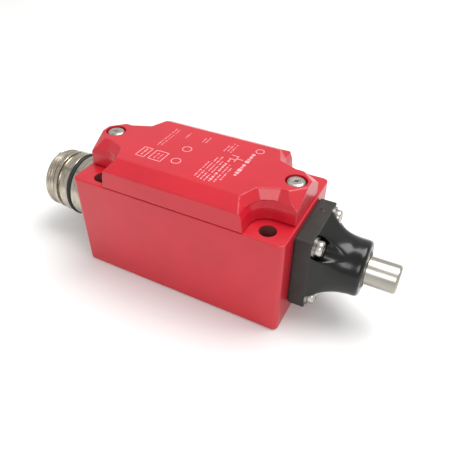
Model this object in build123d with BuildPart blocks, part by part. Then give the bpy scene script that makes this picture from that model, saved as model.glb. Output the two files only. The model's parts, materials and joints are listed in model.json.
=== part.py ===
# Safety limit switch: plunger head on one end, round connector on the other.
# Origin: centre of the mounting face. +X runs towards the plunger and +Z rises out of the
# mounting face through the cover. All sizes are in millimetres.
import os
from math import cos, radians, sin

from build123d import *

os.makedirs("parts", exist_ok=True)

# housing
body_length = 78.0
body_width = 40.0
body_height = 36.8
corner_radius = 1.8
bottom_edge = 0.5
top_edge = 0.35
floor_thickness = 3.0
chamber_start = -21.4
chamber_end = 22.6
chamber_width = 34.4
chamber_corner = 2.0
pocket_start = -30.5
pocket_width = 16.0
pocket_floor = 6.0
rebate_depth = 0.8
rebate_width = 1.1

# mounting holes on a 30 x 60 mm pitch, two round and two slotted
hole_pitch_x = 60.0
hole_pitch_y = 30.0
hole_x = 31.8
hole_radius = 2.75
slot_radius = 2.9
slot_length = 9.0

# cover
cover_top = 46.5
cover_end = 38.4
scallop_x = 31.5
scallop_y = 15.4
foot_scallop = 5.7
rim_scallop = 6.5
top_scallop = 9.5
foot_corner = 1.2
rim_corner = 1.8
top_corner = 4.6
side_corner = 0.7
rim_height = 43.2
bevel_half_width = 14.8
bevel_foot = 43.7
cavity_top = 43.0
cavity_margin = 0.8
cover_screw_x = 34.0
cover_screw_seat = 43.5
cover_bore_radius = 3.7

# screws: head radius, head height, shank radius, shank length
cover_screw_size = (3.15, 2.6, 1.75, 14.0)
head_screw_size = (2.8, 2.3, 1.75, 12.4)
terminal_screw_size = (2.1, 1.5, 1.3, 9.0)
block_screw_size = (1.9, 1.4, 1.0, 26.6)
ground_screw_size = (2.6, 1.8, 1.6, 4.6)
screw_clearance = 0.25
thread_relief = 0.6

# actuating head
plunger_z = 21.0
head_width = 24.0
head_bottom = 6.6
head_top = 34.5
head_corner = 1.0
plate_end = 44.7
gasket_gauge = 0.4
gasket_inset = 0.4
nose_end = 60.0
nose_radius = 9.3
nose_rounding = 1.3
nose_straight = 0.3
head_screw_y = 8.7
head_screw_z = 10.4
screw_pocket_radius = 3.8
washer_radius = 3.2
washer_gauge = 0.8
spring_bore = 6.9
spring_bore_start = 29.4
bush_radius = 6.0
bush_start = 48.65
bush_flange_radius = 8.1
bush_flange_end = 60.6
wiper_start = 58.6
wiper_end = 60.4
wiper_radius = 5.7
running_clearance = 0.05

# plunger, its spring and the push rod
plunger_radius = 4.7
plunger_tip = 70.3
plunger_inner = 44.0
tip_chamfer = 0.9
ring_start = 47.4
ring_end = 48.6
ring_groove = 3.9
ring_radius = 6.3
cup_start = 46.2
cup_radius = 6.5
rod_radius = 2.4
rod_inner = 22.3
rod_seal_radius = 4.4
rod_seal_start = 26.5
seat_gauge = 1.0
spring_wire = 0.55
spring_radius = 5.65
spring_coils = 6

# contact block
block_start = -21.2
block_end = 22.4
block_width = 31.0
block_bottom = 4.4
block_top = 28.0
lid_gauge = 2.0
lid_width = 15.6
channel_start = -17.8
channel_end = 19.0
channel_width = 18.4
channel_floor = 15.0
carriage_start = -18.6
carriage_end = 22.3
carriage_width = 4.8
carriage_height = 5.2
slide_clearance = 0.3
bridge_length = 14.8
bridge_height = 3.4
bridge_gauge = 0.8
tip_gauge = 0.5
tip_radius = 1.2
tip_y = 6.2
opening_stations = (17.6, 8.3)
closing_stations = (-3.7, -12.4)
closing_gap = 3.1
opening_gap = 0.1
window_length = 4.1
window_clearance = 0.4
contact_spring_radius = 1.2
contact_spring_wire = 0.15
contact_spring_coils = 3
terminal_x = (17.1, 6.1, -4.9, -15.9)
terminal_y = 12.4
pad_length = 7.2
pad_start_y = 8.2
pad_end_y = 15.2
leg_start_y = 4.8
leg_end_y = 9.0
strip_gauge = 0.8
clamp_length = 6.0
clamp_height = 2.8
rib_gauge = 1.2
rib_height = 3.2
block_screw_x = (-19.5, 20.7)
block_screw_y = 5.6

# connector
connector_z = 18.0
connector_end = -65.4
thread_radius = 11.5
thread_stop = -60.9
groove_radius = 10.8
rib_start = -60.2
rib_stop = -58.9
rib_radius = 11.75
band_start = -57.0
band_radius = 12.0
ring_x = -52.5
ring_section = 1.0
ring_reach = 12.5
seal_gauge = 0.8
seal_radius = 11.6
socket_radius = 9.6
insert_face = -55.4
insert_rear = -40.4
shell_bore = 8.0
spigot_radius = 9.4
spigot_end = -31.0
key_width = 1.4
key_height = 0.9
pin_radius = 0.5
pin_tip = -61.4
pin_tail = -33.0
outer_pins = 8
inner_pins = 4
outer_pin_circle = 6.4
inner_pin_circle = 2.6

# factory leads, from the pin tails up and over the contact block
lead_radius = 0.6
lead_column_x = -26.0
lead_height = 34.6
lead_bend = 1.9
lead_entry_y = 9.4
lead_stub = 0.8
earth_lead_x = -29.2
lead_lanes = (6.0, 4.4, 2.8, 1.2)

half_length = body_length / 2
half_width = body_width / 2
slot_x = hole_x - hole_pitch_x
head_middle = (head_bottom + head_top) / 2
head_height = head_top - head_bottom
head_face = half_length + gasket_gauge
clamp_base = block_top + strip_gauge
clamp_top = clamp_base + clamp_height
centre = Align.CENTER
low = Align.MIN
high = Align.MAX

head_screw_places = [
    (y, head_middle + z) for y in (-head_screw_y, head_screw_y) for z in (-head_screw_z, head_screw_z)
]
block_screw_places = [(x, y) for x in block_screw_x for y in (-block_screw_y, block_screw_y)]
terminal_places = [(x, y) for x in terminal_x for y in (-terminal_y, terminal_y)]
outer_pin_places = [
    (outer_pin_circle * cos(turn), connector_z + outer_pin_circle * sin(turn))
    for turn in [radians(360 / outer_pins * (step + 0.5)) for step in range(outer_pins)]
]
inner_pin_places = [
    (inner_pin_circle * cos(turn), connector_z + inner_pin_circle * sin(turn))
    for turn in [radians(360 / inner_pins * step) for step in range(inner_pins)]
]
pin_places = outer_pin_places + inner_pin_places


def finish(piece, name):
    """Label a finished piece and write its file."""
    piece.label = name
    export_step(piece, f"parts/{name}.step")


def across(x, y=0.0, z=0.0):
    """A plane across the X axis, facing +X, whose own x and y are the model's Y and Z."""
    return Plane(origin=(x, y, z), x_dir=(0, 1, 0), z_dir=(1, 0, 0))


def turned(start, stop, inner, outer):
    """Half section of a ring along X, drawn above the plane's own origin."""
    with Locations(((start + stop) / 2, (inner + outer) / 2)):
        Rectangle(stop - start, outer - inner)


def axis_plane(z):
    """The XZ plane with its origin on a lengthwise axis, for turned pieces."""
    return Plane(origin=(0, 0, z), x_dir=(1, 0, 0), z_dir=(0, -1, 0))


def lengthwise(z):
    """The axis along X at a height."""
    return Axis((0, 0, z), (1, 0, 0))


def pan_screw(head_radius, head_depth, shank_radius, shank_length):
    """One pan-head screw with a cross recess, its head standing on the origin."""
    with BuildPart(mode=Mode.PRIVATE) as screw:
        Cylinder(head_radius, head_depth, align=(centre, centre, low))
        fillet(screw.edges().group_by(Axis.Z)[-1], head_depth * 0.5)
        Cylinder(shank_radius, shank_length, align=(centre, centre, high))
        with BuildSketch(Plane.XY.offset(head_depth)):
            Rectangle(head_radius * 1.15, head_radius * 0.26)
            Rectangle(head_radius * 0.26, head_radius * 1.15)
        extrude(amount=-head_depth * 0.55, mode=Mode.SUBTRACT)
    return screw.part


def coil_spring(radius, wire, length, coils):
    """One compression spring along +Z from the origin, with its wire ends trimmed flat."""
    with BuildPart(mode=Mode.PRIVATE) as spring:
        with BuildLine() as line:
            Helix((length - 2 * wire) / coils, length - 2 * wire, radius, center=(0, 0, wire))
        with BuildSketch(line.line ^ 0):
            Circle(wire)
        sweep()
    return spring.part


def chamber_outline(margin=0.0):
    """Outline of the contact chamber and its wiring pocket, grown by a margin."""
    with BuildSketch(mode=Mode.PRIVATE) as outline:
        with Locations(((chamber_start + chamber_end) / 2, 0)):
            Rectangle(chamber_end - chamber_start + 2 * margin, chamber_width + 2 * margin)
        with Locations(((pocket_start + chamber_end) / 2, 0)):
            Rectangle(chamber_end - pocket_start + 2 * margin, pocket_width + 2 * margin)
    return outline.sketch


def cover_outline(scallop, end_corner):
    """The cover's cross-shaped outline at one height, with its four scallops rounded."""
    arm = scallop_y - scallop
    trunk = scallop_x - scallop
    with BuildSketch(mode=Mode.PRIVATE) as outline:
        Rectangle(2 * cover_end, 2 * arm)
        Rectangle(2 * trunk, body_width)
        corners = outline.vertices()
        fillet([v for v in corners if abs(v.X) < trunk + 0.1 and abs(v.Y) < arm + 0.1], scallop)
        corners = outline.vertices()
        fillet([v for v in corners if abs(v.X) > cover_end - 0.01], end_corner)
        corners = outline.vertices()
        fillet([v for v in corners if abs(v.Y) > half_width - 0.01], side_corner)
    return outline.sketch


# ---- housing and cover ----

with BuildPart() as housing:
    with BuildSketch():
        RectangleRounded(body_length, body_width, corner_radius)
    extrude(amount=body_height)
    chamfer(housing.edges().group_by(Axis.Z)[0], bottom_edge)
    fillet(housing.edges().group_by(Axis.Z)[-1], top_edge)
    # contact chamber and the wiring pocket behind the connector
    with BuildSketch(Plane.XY.offset(pocket_floor)):
        with Locations(((pocket_start + chamber_end) / 2, 0)):
            Rectangle(chamber_end - pocket_start, pocket_width)
    extrude(amount=body_height, mode=Mode.SUBTRACT)
    with BuildSketch(Plane.XY.offset(floor_thickness)):
        with Locations(((chamber_start + chamber_end) / 2, 0)):
            RectangleRounded(chamber_end - chamber_start, chamber_width, chamber_corner)
    extrude(amount=body_height, mode=Mode.SUBTRACT)
    with BuildSketch(Plane.XY.offset(body_height - rebate_depth)):
        add(chamber_outline(rebate_width))
    extrude(amount=rebate_depth, mode=Mode.SUBTRACT)
    # mounting holes
    with BuildSketch():
        with Locations((hole_x, hole_pitch_y / 2), (hole_x, -hole_pitch_y / 2)):
            Circle(hole_radius)
        with Locations((slot_x, hole_pitch_y / 2), (slot_x, -hole_pitch_y / 2)):
            SlotOverall(slot_length, 2 * slot_radius)
    extrude(amount=body_height, mode=Mode.SUBTRACT)
    # cover screw threads
    with BuildSketch(Plane.XY.offset(cover_screw_seat - cover_screw_size[3] - thread_relief)):
        with Locations((cover_screw_x, 0), (-cover_screw_x, 0)):
            Circle(cover_screw_size[2])
    extrude(amount=body_height, mode=Mode.SUBTRACT)
    # connector thread
    with BuildSketch(across(-half_length, 0, connector_z)):
        Circle(spigot_radius)
    extrude(amount=half_length + pocket_start, mode=Mode.SUBTRACT)
    # spring bore, rod seal seat and rod bore
    with BuildSketch(across(spring_bore_start, 0, plunger_z)):
        Circle(spring_bore)
    extrude(amount=half_length - spring_bore_start, mode=Mode.SUBTRACT)
    with BuildSketch(across(rod_seal_start, 0, plunger_z)):
        Circle(rod_seal_radius)
    extrude(amount=spring_bore_start - rod_seal_start, mode=Mode.SUBTRACT)
    with BuildSketch(across(chamber_end, 0, plunger_z)):
        Circle(rod_radius + running_clearance)
    extrude(amount=rod_seal_start - chamber_end, mode=Mode.SUBTRACT)
    # head screw threads
    with BuildSketch(across(half_length)):
        with Locations(*head_screw_places):
            Circle(head_screw_size[2])
    extrude(amount=plate_end + washer_gauge - half_length - head_screw_size[3] - thread_relief,
            mode=Mode.SUBTRACT)
    # threads in the floors for the contact block and the earth screw
    with BuildSketch(Plane.XY.offset(floor_thickness)):
        with Locations(*block_screw_places):
            Circle(block_screw_size[2])
    extrude(amount=block_top + lid_gauge - block_screw_size[3] - floor_thickness, mode=Mode.SUBTRACT)
    with BuildSketch(Plane.XY.offset(pocket_floor)):
        with Locations((lead_column_x, 0)):
            Circle(ground_screw_size[2])
    extrude(amount=strip_gauge - ground_screw_size[3], mode=Mode.SUBTRACT)
finish(housing.part, "housing")

# a drafted skirt below a flared crown, with the long edges bevelled
with BuildPart() as cover:
    with BuildSketch(Plane.XY.offset(body_height)):
        add(cover_outline(foot_scallop, foot_corner))
    with BuildSketch(Plane.XY.offset(rim_height)):
        add(cover_outline(rim_scallop, rim_corner))
    loft(ruled=True)
    with BuildSketch(Plane.XY.offset(rim_height)):
        add(cover_outline(rim_scallop, rim_corner))
    with BuildSketch(Plane.XY.offset(cover_top)):
        add(cover_outline(top_scallop, top_corner))
    loft(ruled=True)
    with BuildSketch(Plane.YZ):
        with BuildLine():
            Polyline(
                (bevel_half_width, cover_top),
                (half_width, bevel_foot),
                (half_width + 1, bevel_foot),
                (half_width + 1, cover_top + 1),
                (bevel_half_width, cover_top + 1),
                close=True,
            )
        make_face()
        mirror(about=Plane.YZ)
    extrude(amount=half_length, both=True, mode=Mode.SUBTRACT)
    # hollow over the chamber, then the screw bores
    with BuildSketch(Plane.XY.offset(body_height)):
        add(chamber_outline(-cavity_margin))
    extrude(amount=cavity_top - body_height, mode=Mode.SUBTRACT)
    with Locations((cover_screw_x, 0, cover_top), (-cover_screw_x, 0, cover_top)):
        CounterBoreHole(
            cover_screw_size[2] + screw_clearance, cover_bore_radius, cover_top - cover_screw_seat
        )
finish(cover.part, "cover")

with BuildPart() as cover_gasket:
    with BuildSketch(Plane.XY.offset(body_height - rebate_depth)):
        add(chamber_outline(rebate_width))
        add(chamber_outline(0), mode=Mode.SUBTRACT)
    extrude(amount=rebate_depth)
finish(cover_gasket.part, "cover_gasket")

with BuildPart() as cover_screws:
    with Locations((cover_screw_x, 0, cover_screw_seat), (-cover_screw_x, 0, cover_screw_seat)):
        add(pan_screw(*cover_screw_size))
finish(cover_screws.part, "cover_screws")

# ---- actuating head ----

# a plate that flares inwards to a round nose, with a pocket over each screw
with BuildPart() as head_body:
    with BuildSketch(across(head_face, 0, head_middle)):
        RectangleRounded(head_width, head_height, head_corner)
    extrude(amount=plate_end - head_face)
    # along the nose: share of its length, loss of half width and of half height, corner radius
    nose_length = nose_end - plate_end
    nose_shift = plunger_z - head_middle
    flare_end = nose_radius + running_clearance
    flare_sections = (
        (0.0, 0.0, 0.0, 2 * head_corner),
        (0.1, 0.3, 1.05, 4.5),
        (0.26, 1.2, 2.55, 8.0),
        (0.46, 2.1, 3.95, 9.0),
        (0.74, head_width / 2 - flare_end, head_height / 2 - flare_end, flare_end - screw_clearance),
    )
    for share, narrowing, shortening, corner in flare_sections:
        half_y = head_width / 2 - narrowing
        half_z = head_height / 2 - shortening
        with BuildSketch(across(plate_end + share * nose_length, 0, head_middle + share * nose_shift)):
            RectangleRounded(2 * half_y, 2 * half_z, corner)
    loft()
    with BuildSketch(axis_plane(plunger_z)):
        turned(nose_end - nose_straight * nose_length, nose_end, 0, nose_radius)
    revolve(axis=lengthwise(plunger_z))
    fillet(head_body.edges().group_by(Axis.X)[-1], nose_rounding)
    with BuildSketch(across(plate_end)):
        with Locations(*head_screw_places):
            Circle(screw_pocket_radius)
    extrude(amount=nose_end - plate_end, mode=Mode.SUBTRACT)
    with BuildSketch(across(head_face)):
        with Locations(*head_screw_places):
            Circle(head_screw_size[2] + screw_clearance)
    extrude(amount=plate_end - head_face, mode=Mode.SUBTRACT)
    with BuildSketch(across(head_face, 0, plunger_z)):
        Circle(spring_bore)
    extrude(amount=bush_start - head_face, mode=Mode.SUBTRACT)
    with BuildSketch(across(bush_start, 0, plunger_z)):
        Circle(bush_radius)
    extrude(amount=nose_end - bush_start, mode=Mode.SUBTRACT)
finish(head_body.part, "head_body")

with BuildPart() as head_gasket:
    with BuildSketch(across(half_length, 0, head_middle)):
        RectangleRounded(head_width - 2 * gasket_inset, head_height - 2 * gasket_inset, head_corner)
        with Locations((0, plunger_z - head_middle)):
            Circle(spring_bore, mode=Mode.SUBTRACT)
        with Locations(*[(y, z - head_middle) for y, z in head_screw_places]):
            Circle(head_screw_size[2] + screw_clearance, mode=Mode.SUBTRACT)
    extrude(amount=gasket_gauge)
finish(head_gasket.part, "head_gasket")

with BuildPart() as head_screws:
    with Locations(*[Location((plate_end + washer_gauge, y, z), (0, 90, 0)) for y, z in head_screw_places]):
        add(pan_screw(*head_screw_size))
finish(head_screws.part, "head_screws")

# split spring washers
with BuildPart() as head_spring_washers:
    with BuildSketch(across(plate_end)):
        with Locations(*head_screw_places):
            Circle(washer_radius)
            Circle(head_screw_size[2], mode=Mode.SUBTRACT)
        with Locations(*[(y + washer_radius * 0.75, z) for y, z in head_screw_places]):
            Rectangle(washer_radius, washer_gauge / 2, mode=Mode.SUBTRACT)
    extrude(amount=washer_gauge)
finish(head_spring_washers.part, "head_spring_washers")

with BuildPart() as guide_bush:
    with BuildSketch(axis_plane(plunger_z)):
        turned(bush_start, wiper_start, plunger_radius + running_clearance, bush_radius)
        turned(wiper_start, nose_end, wiper_radius, bush_radius)
        turned(nose_end, bush_flange_end, wiper_radius, bush_flange_radius)
    revolve(axis=lengthwise(plunger_z))
finish(guide_bush.part, "guide_bush")

with BuildPart() as wiper_seal:
    with BuildSketch(axis_plane(plunger_z)):
        turned(wiper_start, wiper_end, plunger_radius + running_clearance, wiper_radius)
    revolve(axis=lengthwise(plunger_z))
finish(wiper_seal.part, "wiper_seal")

# ---- plunger and push rod ----

with BuildPart() as plunger:
    with BuildSketch(axis_plane(plunger_z)):
        turned(plunger_inner, ring_start, 0, plunger_radius)
        turned(ring_start, ring_end, 0, ring_groove)
        turned(ring_end, plunger_tip, 0, plunger_radius)
    revolve(axis=lengthwise(plunger_z))
    chamfer(plunger.edges().group_by(Axis.X)[-1], tip_chamfer)
finish(plunger.part, "plunger")

# a snap ring that stops the plunger against the bush
with BuildPart() as retaining_ring:
    with BuildSketch(across(ring_start, 0, plunger_z)):
        Circle(ring_radius)
        Circle(ring_groove, mode=Mode.SUBTRACT)
        with Locations((0, -ring_radius)):
            Rectangle(ring_groove, ring_radius, mode=Mode.SUBTRACT)
    extrude(amount=ring_end - ring_start)
finish(retaining_ring.part, "retaining_ring")

with BuildPart() as spring_cup:
    with BuildSketch(axis_plane(plunger_z)):
        turned(cup_start, ring_start, plunger_radius, cup_radius)
    revolve(axis=lengthwise(plunger_z))
finish(spring_cup.part, "spring_cup")

with BuildPart() as return_spring:
    with Locations(Location((spring_bore_start + seat_gauge, 0, plunger_z), (0, 90, 0))):
        add(coil_spring(spring_radius, spring_wire, cup_start - spring_bore_start - seat_gauge, spring_coils))
finish(return_spring.part, "return_spring")

with BuildPart() as spring_seat:
    with BuildSketch(axis_plane(plunger_z)):
        turned(spring_bore_start, spring_bore_start + seat_gauge, rod_radius + screw_clearance, cup_radius)
    revolve(axis=lengthwise(plunger_z))
finish(spring_seat.part, "spring_seat")

with BuildPart() as push_rod:
    with BuildSketch(axis_plane(plunger_z)):
        turned(rod_inner, plunger_inner, 0, rod_radius)
    revolve(axis=lengthwise(plunger_z))
finish(push_rod.part, "push_rod")

with BuildPart() as rod_seal:
    with BuildSketch(axis_plane(plunger_z)):
        turned(rod_seal_start, spring_bore_start, rod_radius + running_clearance, rod_seal_radius)
    revolve(axis=lengthwise(plunger_z))
finish(rod_seal.part, "rod_seal")

# ---- contact block ----

block_length = block_end - block_start
block_middle = (block_start + block_end) / 2
channel_middle = (channel_start + channel_end) / 2
carriage_middle = (carriage_start + carriage_end) / 2
rib_length = (block_width - channel_width) / 2
rib_x = [(a + b) / 2 for a, b in zip(terminal_x, terminal_x[1:])]

with BuildPart() as contact_base:
    with Locations((block_middle, 0, block_bottom)):
        Box(block_length, block_width, block_top - block_bottom, align=(centre, centre, low))
    for side in (-1, 1):
        with Locations(*[(x, side * (block_width - rib_length) / 2, block_top) for x in rib_x]):
            Box(rib_gauge, rib_length, rib_height, align=(centre, centre, low))
    with Locations((channel_middle, 0, channel_floor)):
        Box(
            channel_end - channel_start,
            channel_width,
            block_top - channel_floor,
            align=(centre, centre, low),
            mode=Mode.SUBTRACT,
        )
    with Locations((block_middle, 0, plunger_z)):
        Box(
            block_length,
            carriage_width + 2 * slide_clearance,
            carriage_height + 2 * slide_clearance,
            mode=Mode.SUBTRACT,
        )
    with BuildSketch(Plane.XY.offset(block_top)):
        with Locations(*terminal_places):
            Circle(terminal_screw_size[2] + screw_clearance)
    extrude(amount=clamp_top - terminal_screw_size[3] - thread_relief - block_top, mode=Mode.SUBTRACT)
    with BuildSketch(Plane.XY.offset(block_bottom)):
        with Locations(*block_screw_places):
            Circle(block_screw_size[2] + running_clearance)
    extrude(amount=block_top - block_bottom, mode=Mode.SUBTRACT)
finish(contact_base.part, "contact_base")

# feet that stand the block off the floor
with BuildPart() as block_feet:
    with Locations(*[(x, y, floor_thickness) for x, y in block_screw_places]):
        Cylinder(block_screw_size[0], block_bottom - floor_thickness, align=(centre, centre, low))
        Cylinder(
            block_screw_size[2] + running_clearance,
            block_bottom - floor_thickness,
            align=(centre, centre, low),
            mode=Mode.SUBTRACT,
        )
finish(block_feet.part, "block_feet")

with BuildPart() as contact_lid:
    with Locations((block_middle, 0, block_top)):
        Box(block_length, lid_width, lid_gauge, align=(centre, centre, low))
    with BuildSketch(Plane.XY.offset(block_top)):
        with Locations(*block_screw_places):
            Circle(block_screw_size[2] + running_clearance)
    extrude(amount=lid_gauge, mode=Mode.SUBTRACT)
finish(contact_lid.part, "contact_lid")

with BuildPart() as block_screws:
    with Locations(*[(x, y, block_top + lid_gauge) for x, y in block_screw_places]):
        add(pan_screw(*block_screw_size))
finish(block_screws.part, "block_screws")

# where each strip, bridge and tip starts along X with the plunger out
opening_plates = [x + tip_gauge for x in opening_stations]
closing_plates = [x - closing_gap - tip_gauge - strip_gauge for x in closing_stations]
opening_bridges = [x - opening_gap - tip_gauge - bridge_gauge for x in opening_stations]
closing_bridges = [x + tip_gauge for x in closing_stations]
fixed_tips = list(opening_stations) + [x + strip_gauge for x in closing_plates]

# the sliding carriage carries each bridge in a window with its spring
with BuildPart() as contact_carriage:
    with Locations((carriage_middle, 0, plunger_z)):
        Box(carriage_end - carriage_start, carriage_width, carriage_height)
    with Locations(*[(x + bridge_gauge + running_clearance, 0, plunger_z) for x in opening_bridges]):
        Box(
            window_length + bridge_gauge + running_clearance,
            carriage_width,
            bridge_height + window_clearance,
            align=(high, centre, centre),
            mode=Mode.SUBTRACT,
        )
    with Locations(*[(x - running_clearance, 0, plunger_z) for x in closing_bridges]):
        Box(
            window_length + bridge_gauge + running_clearance,
            carriage_width,
            bridge_height + window_clearance,
            align=(low, centre, centre),
            mode=Mode.SUBTRACT,
        )
finish(contact_carriage.part, "contact_carriage")

for name, starts in (("opening_bridges", opening_bridges), ("closing_bridges", closing_bridges)):
    with BuildPart() as bridges:
        with Locations(*[(x, 0, plunger_z) for x in starts]):
            Box(bridge_gauge, bridge_length, bridge_height, align=(low, centre, centre))
    finish(bridges.part, name)

for name, starts in (
    ("fixed_tips", fixed_tips),
    ("opening_tips", [x + bridge_gauge for x in opening_bridges]),
    ("closing_tips", [x - tip_gauge for x in closing_bridges]),
):
    with BuildPart() as tips:
        for start in starts:
            with BuildSketch(across(start, 0, plunger_z)):
                with Locations((tip_y, 0), (-tip_y, 0)):
                    Circle(tip_radius)
            extrude(amount=tip_gauge)
    finish(tips.part, name)

# each fixed contact is a folded strip: a leg in the channel and a pad under the terminal
for name, plates, pads in (
    ("fixed_contacts_opening", opening_plates, terminal_x[:2]),
    ("fixed_contacts_closing", closing_plates, terminal_x[2:]),
):
    with BuildPart() as strips:
        for plate, pad in zip(plates, pads):
            for side in (-1, 1):
                leg_y = side * (leg_start_y + leg_end_y) / 2
                with Locations((plate, leg_y, plunger_z)):
                    Box(strip_gauge, leg_end_y - leg_start_y, 2 * bridge_height, align=(low, centre, centre))
                riser_y = side * (pad_start_y + leg_end_y) / 2
                with Locations((plate, riser_y, plunger_z)):
                    Box(
                        strip_gauge,
                        leg_end_y - pad_start_y,
                        clamp_base - plunger_z,
                        align=(low, centre, low),
                    )
                pad_y = side * (pad_start_y + pad_end_y) / 2
                with Locations((pad, pad_y, block_top)):
                    Box(pad_length, pad_end_y - pad_start_y, strip_gauge, align=(centre, centre, low))
        with BuildSketch(Plane.XY.offset(block_top)):
            with Locations(*[(x, y) for x in pads for y in (-terminal_y, terminal_y)]):
                Circle(terminal_screw_size[2] + screw_clearance)
        extrude(amount=strip_gauge, mode=Mode.SUBTRACT)
    finish(strips.part, name)

spring_starts = [(x, -90) for x in opening_bridges] + [(x + bridge_gauge, 90) for x in closing_bridges]

with BuildPart() as contact_springs:
    with Locations(*[Location((x, 0, plunger_z), (0, turn, 0)) for x, turn in spring_starts]):
        add(coil_spring(contact_spring_radius, contact_spring_wire, window_length, contact_spring_coils))
finish(contact_springs.part, "contact_springs")

with BuildPart() as terminal_clamps:
    for side in (-1, 1):
        middle_y = side * (pad_start_y + pad_end_y) / 2
        with Locations(*[(x, middle_y, clamp_base) for x in terminal_x]):
            Box(clamp_length, pad_end_y - pad_start_y, clamp_height, align=(centre, centre, low))
    with BuildSketch(Plane.XY.offset(clamp_base)):
        with Locations(*terminal_places):
            Circle(terminal_screw_size[2] + running_clearance)
    extrude(amount=clamp_height, mode=Mode.SUBTRACT)
finish(terminal_clamps.part, "terminal_clamps")

with BuildPart() as terminal_screws:
    with Locations(*[(x, y, clamp_top) for x, y in terminal_places]):
        add(pan_screw(*terminal_screw_size))
finish(terminal_screws.part, "terminal_screws")

with BuildPart() as ground_screw:
    with Locations((lead_column_x, 0, pocket_floor + strip_gauge)):
        add(pan_screw(*ground_screw_size))
finish(ground_screw.part, "ground_screw")

with BuildPart() as ground_washer:
    with BuildSketch(Plane.XY.offset(pocket_floor)):
        with Locations((lead_column_x, 0)):
            Circle(ground_screw_size[0] + 0.6)
            Circle(ground_screw_size[2] + running_clearance, mode=Mode.SUBTRACT)
    extrude(amount=strip_gauge)
finish(ground_washer.part, "ground_washer")

# ---- connector ----

with BuildPart() as connector_shell:
    with BuildSketch(axis_plane(connector_z)):
        turned(connector_end, thread_stop, socket_radius, thread_radius)
        turned(thread_stop, rib_start, socket_radius, groove_radius)
        turned(rib_start, rib_stop, socket_radius, rib_radius)
        turned(rib_stop, band_start, socket_radius, groove_radius)
        turned(band_start, ring_x - ring_section, socket_radius, band_radius)
        turned(ring_x - ring_section, ring_x + ring_section, socket_radius, ring_reach - 2 * ring_section)
        turned(ring_x + ring_section, insert_rear, socket_radius, band_radius)
        turned(insert_rear, -half_length - seal_gauge, shell_bore, band_radius)
        turned(-half_length - seal_gauge, spigot_end, shell_bore, spigot_radius)
    revolve(axis=lengthwise(connector_z))
    chamfer(connector_shell.edges().group_by(Axis.X)[0].sort_by(SortBy.RADIUS)[-1], 0.5)
    # keyway rib inside the mouth
    with Locations((connector_end + 1, 0, connector_z + socket_radius + 0.2)):
        Box(insert_face - connector_end - 1, key_width, key_height, align=(low, centre, high))
finish(connector_shell.part, "connector_shell")

with BuildPart() as connector_insert:
    with BuildSketch(across(insert_face, 0, connector_z)):
        Circle(socket_radius)
        with Locations(*[(y, z - connector_z) for y, z in pin_places]):
            Circle(pin_radius, mode=Mode.SUBTRACT)
    extrude(amount=insert_rear - insert_face)
finish(connector_insert.part, "connector_insert")

with BuildPart() as connector_pins:
    with BuildSketch(across(pin_tip)):
        with Locations(*pin_places):
            Circle(pin_radius)
    extrude(amount=pin_tail - pin_tip)
finish(connector_pins.part, "connector_pins")

with BuildPart() as connector_o_ring:
    with BuildSketch(axis_plane(connector_z)):
        with Locations((ring_x, ring_reach - ring_section)):
            Circle(ring_section)
    revolve(axis=lengthwise(connector_z))
finish(connector_o_ring.part, "connector_o_ring")

with BuildPart() as connector_seal:
    with BuildSketch(across(-half_length - seal_gauge, 0, connector_z)):
        Circle(seal_radius)
        Circle(spigot_radius, mode=Mode.SUBTRACT)
    extrude(amount=seal_gauge)
finish(connector_seal.part, "connector_seal")

# ---- leads: one to each terminal in a lane of its own, and one to earth ----

lead_routes = []
for side in (-1, 1):
    pins = [place for place in outer_pin_places if place[0] * side > 0]
    pins = sorted(pins, key=lambda place: (-abs(place[0]), -place[1]))
    for (pin_y, pin_z), lane, x in zip(pins, lead_lanes, terminal_x[::-1]):
        lead_routes.append(
            [
                (pin_tail, pin_y, pin_z),
                (pin_tail + lead_stub, pin_y, pin_z),
                (lead_column_x, side * lane, pin_z),
                (lead_column_x, side * lane, lead_height),
                (x, side * lane, lead_height),
                (x, side * lead_entry_y, lead_height),
                (x, side * lead_entry_y, clamp_top),
            ]
        )
lead_routes.append(
    [
        (pin_tail, *inner_pin_places[3]),
        (earth_lead_x, *inner_pin_places[3]),
        (earth_lead_x, 0, pocket_floor + strip_gauge),
    ]
)

with BuildPart() as lead_wires:
    for route in lead_routes:
        with BuildLine(mode=Mode.PRIVATE) as path:
            FilletPolyline(*route, radius=lead_bend)
        with BuildSketch(path.line ^ 0):
            Circle(lead_radius)
        sweep(path=path.line)
finish(lead_wires.part, "lead_wires")
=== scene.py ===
import json
from math import cos, pi, radians, sin

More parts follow.
